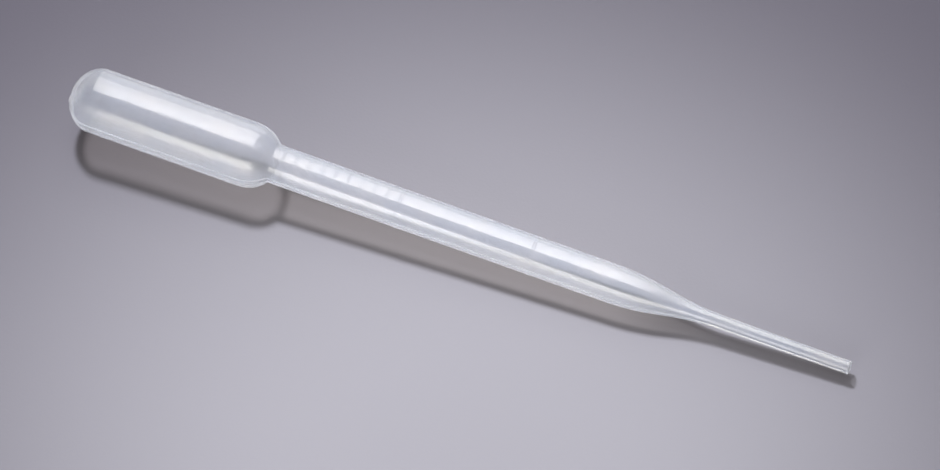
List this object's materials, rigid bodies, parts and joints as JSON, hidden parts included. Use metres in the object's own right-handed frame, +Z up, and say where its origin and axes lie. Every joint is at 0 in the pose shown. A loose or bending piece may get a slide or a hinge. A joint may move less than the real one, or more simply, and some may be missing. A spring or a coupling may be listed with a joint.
{
  "type": "plastic dropper pipette",
  "caption": "Disposable graduated dropper pipette: one blow-moulded translucent plastic piece with a squeeze bulb, a stem and a drawn-out open tip.",
  "frame": {"origin": "on the table under the middle of the pipette as it lies: the centre of its box in X and Y, and its lowest point in Z", "axes": "+X along the pipette from the closed end of the bulb to the mouth of the tip, +Z up; the pipette's own axis lies in the XZ plane and slopes down towards the tip by 1.98 degrees"},
  "size_m": [0.1602, 0.013, 0.0139],
  "materials": {
    "translucent_polyethylene": "satin"
  },
  "bodies": {
    "root": {"pipette": "translucent_polyethylene"}
  },
  "joints": []
}
